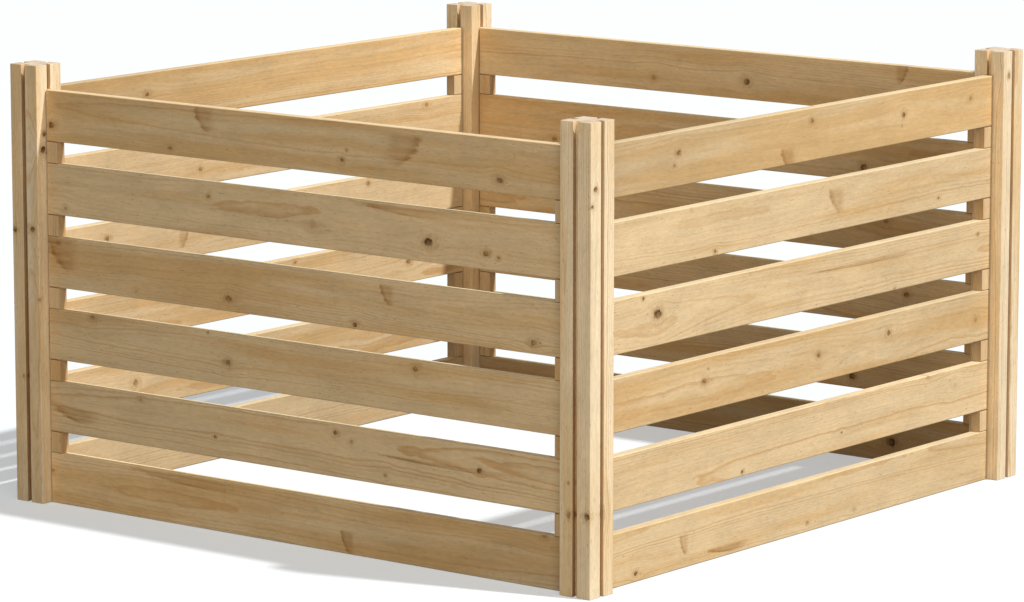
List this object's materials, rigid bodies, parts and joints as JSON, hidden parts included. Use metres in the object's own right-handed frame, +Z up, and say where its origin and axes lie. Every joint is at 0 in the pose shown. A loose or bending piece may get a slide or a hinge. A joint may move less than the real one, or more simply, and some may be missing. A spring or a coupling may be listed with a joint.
{
  "type": "wooden compost bin",
  "caption": "Square open compost bin of pale softwood: grooved corner posts hold slatted walls of loose boards, kept apart by spacer blocks, that slide up and out.",
  "frame": {"origin": "on the ground at the middle of the bin's square footprint", "axes": "+Z up; -Y is the front wall, +X the right wall, as seen by someone facing the front"},
  "size_m": [1.22, 1.22, 0.7435],
  "materials": {
    "posts": "planed bare softwood",
    "boards": "planed bare softwood",
    "spacers": "sawn bare softwood"
  },
  "bodies": {
    "posts": {"front_left_post": "posts", "front_right_post": "posts", "back_right_post": "posts", "back_left_post": "posts"},
    "front_course_1": {"front_board_1": "boards", "front_spacers_1": "spacers"},
    "front_course_2": {"front_board_2": "boards", "front_spacers_2": "spacers"},
    "front_course_3": {"front_board_3": "boards", "front_spacers_3": "spacers"},
    "front_course_4": {"front_board_4": "boards", "front_spacers_4": "spacers"},
    "front_course_5": {"front_board_5": "boards", "front_spacers_5": "spacers"},
    "front_course_6": {"front_board_6": "boards"},
    "right_course_1": {"right_board_1": "boards", "right_spacers_1": "spacers"},
    "right_course_2": {"right_board_2": "boards", "right_spacers_2": "spacers"},
    "right_course_3": {"right_board_3": "boards", "right_spacers_3": "spacers"},
    "right_course_4": {"right_board_4": "boards", "right_spacers_4": "spacers"},
    "right_course_5": {"right_board_5": "boards", "right_spacers_5": "spacers"},
    "right_course_6": {"right_board_6": "boards"},
    "back_course_1": {"back_board_1": "boards", "back_spacers_1": "spacers"},
    "back_course_2": {"back_board_2": "boards", "back_spacers_2": "spacers"},
    "back_course_3": {"back_board_3": "boards", "back_spacers_3": "spacers"},
    "back_course_4": {"back_board_4": "boards", "back_spacers_4": "spacers"},
    "back_course_5": {"back_board_5": "boards", "back_spacers_5": "spacers"},
    "back_course_6": {"back_board_6": "boards"},
    "left_course_1": {"left_board_1": "boards", "left_spacers_1": "spacers"},
    "left_course_2": {"left_board_2": "boards", "left_spacers_2": "spacers"},
    "left_course_3": {"left_board_3": "boards", "left_spacers_3": "spacers"},
    "left_course_4": {"left_board_4": "boards", "left_spacers_4": "spacers"},
    "left_course_5": {"left_board_5": "boards", "left_spacers_5": "spacers"},
    "left_course_6": {"left_board_6": "boards"}
  },
  "joints": [
    {"name": "front_course_1_lift", "type": "slide", "parent": "posts", "child": "front_course_1", "axis": [0, 0, 1], "range_m": [0, 0.7535]},
    {"name": "front_course_2_lift", "type": "slide", "parent": "front_course_1", "child": "front_course_2", "axis": [0, 0, 1], "range_m": [0, 0.6303]},
    {"name": "front_course_3_lift", "type": "slide", "parent": "front_course_2", "child": "front_course_3", "axis": [0, 0, 1], "range_m": [0, 0.5071]},
    {"name": "front_course_4_lift", "type": "slide", "parent": "front_course_3", "child": "front_course_4", "axis": [0, 0, 1], "range_m": [0, 0.3839]},
    {"name": "front_course_5_lift", "type": "slide", "parent": "front_course_4", "child": "front_course_5", "axis": [0, 0, 1], "range_m": [0, 0.2607]},
    {"name": "front_course_6_lift", "type": "slide", "parent": "front_course_5", "child": "front_course_6", "axis": [0, 0, 1], "range_m": [0, 0.1375]},
    {"name": "right_course_1_lift", "type": "slide", "parent": "posts", "child": "right_course_1", "axis": [0, 0, 1], "range_m": [0, 0.7535]},
    {"name": "right_course_2_lift", "type": "slide", "parent": "right_course_1", "child": "right_course_2", "axis": [0, 0, 1], "range_m": [0, 0.6303]},
    {"name": "right_course_3_lift", "type": "slide", "parent": "right_course_2", "child": "right_course_3", "axis": [0, 0, 1], "range_m": [0, 0.5071]},
    {"name": "right_course_4_lift", "type": "slide", "parent": "right_course_3", "child": "right_course_4", "axis": [0, 0, 1], "range_m": [0, 0.3839]},
    {"name": "right_course_5_lift", "type": "slide", "parent": "right_course_4", "child": "right_course_5", "axis": [0, 0, 1], "range_m": [0, 0.2607]},
    {"name": "right_course_6_lift", "type": "slide", "parent": "right_course_5", "child": "right_course_6", "axis": [0, 0, 1], "range_m": [0, 0.1375]},
    {"name": "back_course_1_lift", "type": "slide", "parent": "posts", "child": "back_course_1", "axis": [0, 0, 1], "range_m": [0, 0.7535]},
    {"name": "back_course_2_lift", "type": "slide", "parent": "back_course_1", "child": "back_course_2", "axis": [0, 0, 1], "range_m": [0, 0.6303]},
    {"name": "back_course_3_lift", "type": "slide", "parent": "back_course_2", "child": "back_course_3", "axis": [0, 0, 1], "range_m": [0, 0.5071]},
    {"name": "back_course_4_lift", "type": "slide", "parent": "back_course_3", "child": "back_course_4", "axis": [0, 0, 1], "range_m": [0, 0.3839]},
    {"name": "back_course_5_lift", "type": "slide", "parent": "back_course_4", "child": "back_course_5", "axis": [0, 0, 1], "range_m": [0, 0.2607]},
    {"name": "back_course_6_lift", "type": "slide", "parent": "back_course_5", "child": "back_course_6", "axis": [0, 0, 1], "range_m": [0, 0.1375]},
    {"name": "left_course_1_lift", "type": "slide", "parent": "posts", "child": "left_course_1", "axis": [0, 0, 1], "range_m": [0, 0.7535]},
    {"name": "left_course_2_lift", "type": "slide", "parent": "left_course_1", "child": "left_course_2", "axis": [0, 0, 1], "range_m": [0, 0.6303]},
    {"name": "left_course_3_lift", "type": "slide", "parent": "left_course_2", "child": "left_course_3", "axis": [0, 0, 1], "range_m": [0, 0.5071]},
    {"name": "left_course_4_lift", "type": "slide", "parent": "left_course_3", "child": "left_course_4", "axis": [0, 0, 1], "range_m": [0, 0.3839]},
    {"name": "left_course_5_lift", "type": "slide", "parent": "left_course_4", "child": "left_course_5", "axis": [0, 0, 1], "range_m": [0, 0.2607]},
    {"name": "left_course_6_lift", "type": "slide", "parent": "left_course_5", "child": "left_course_6", "axis": [0, 0, 1], "range_m": [0, 0.1375]}
  ]
}
